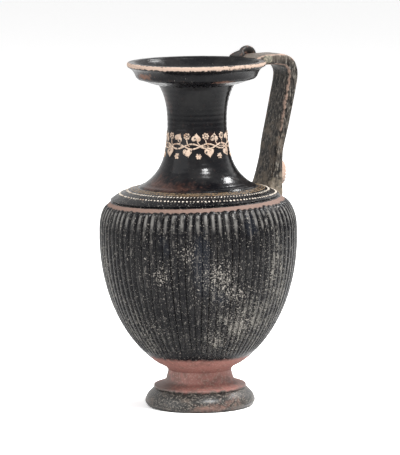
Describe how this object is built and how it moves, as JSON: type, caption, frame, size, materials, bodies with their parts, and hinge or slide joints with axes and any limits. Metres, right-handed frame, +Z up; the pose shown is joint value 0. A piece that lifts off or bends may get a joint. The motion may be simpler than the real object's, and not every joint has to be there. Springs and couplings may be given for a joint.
{
  "type": "oinochoe",
  "caption": "Ribbed clay wine jug with a tall neck, dished mouth, turned foot, strap handle, small discs at the rim and a mask at the handle's root.",
  "frame": {"origin": "middle of the jug's box in plan, on the plane its foot stands on; the wheel's axis is 4.6 mm from it towards -X", "axes": "+Z up along the jug's axis, +X towards the handle, +Y to the handle's left seen from the jug's axis"},
  "size_m": [0.1462, 0.137, 0.2464],
  "materials": {
    "black_glaze": "glossy black slip, worn and speckled",
    "worn_glaze": "thin black slip, rubbed to brown on the edges",
    "foot_clay": "red-fired slip above, grey-black speckled below",
    "bare_clay": "matt pinkish clay",
    "old_break": "rough, earth-stained"
  },
  "bodies": {
    "root": {"foot": "foot_clay", "body": "black_glaze", "neck": "black_glaze", "mouth": "black_glaze", "handle": "worn_glaze", "rotella_whole": "worn_glaze", "rotella_broken": "old_break", "mask": "bare_clay"}
  },
  "joints": []
}
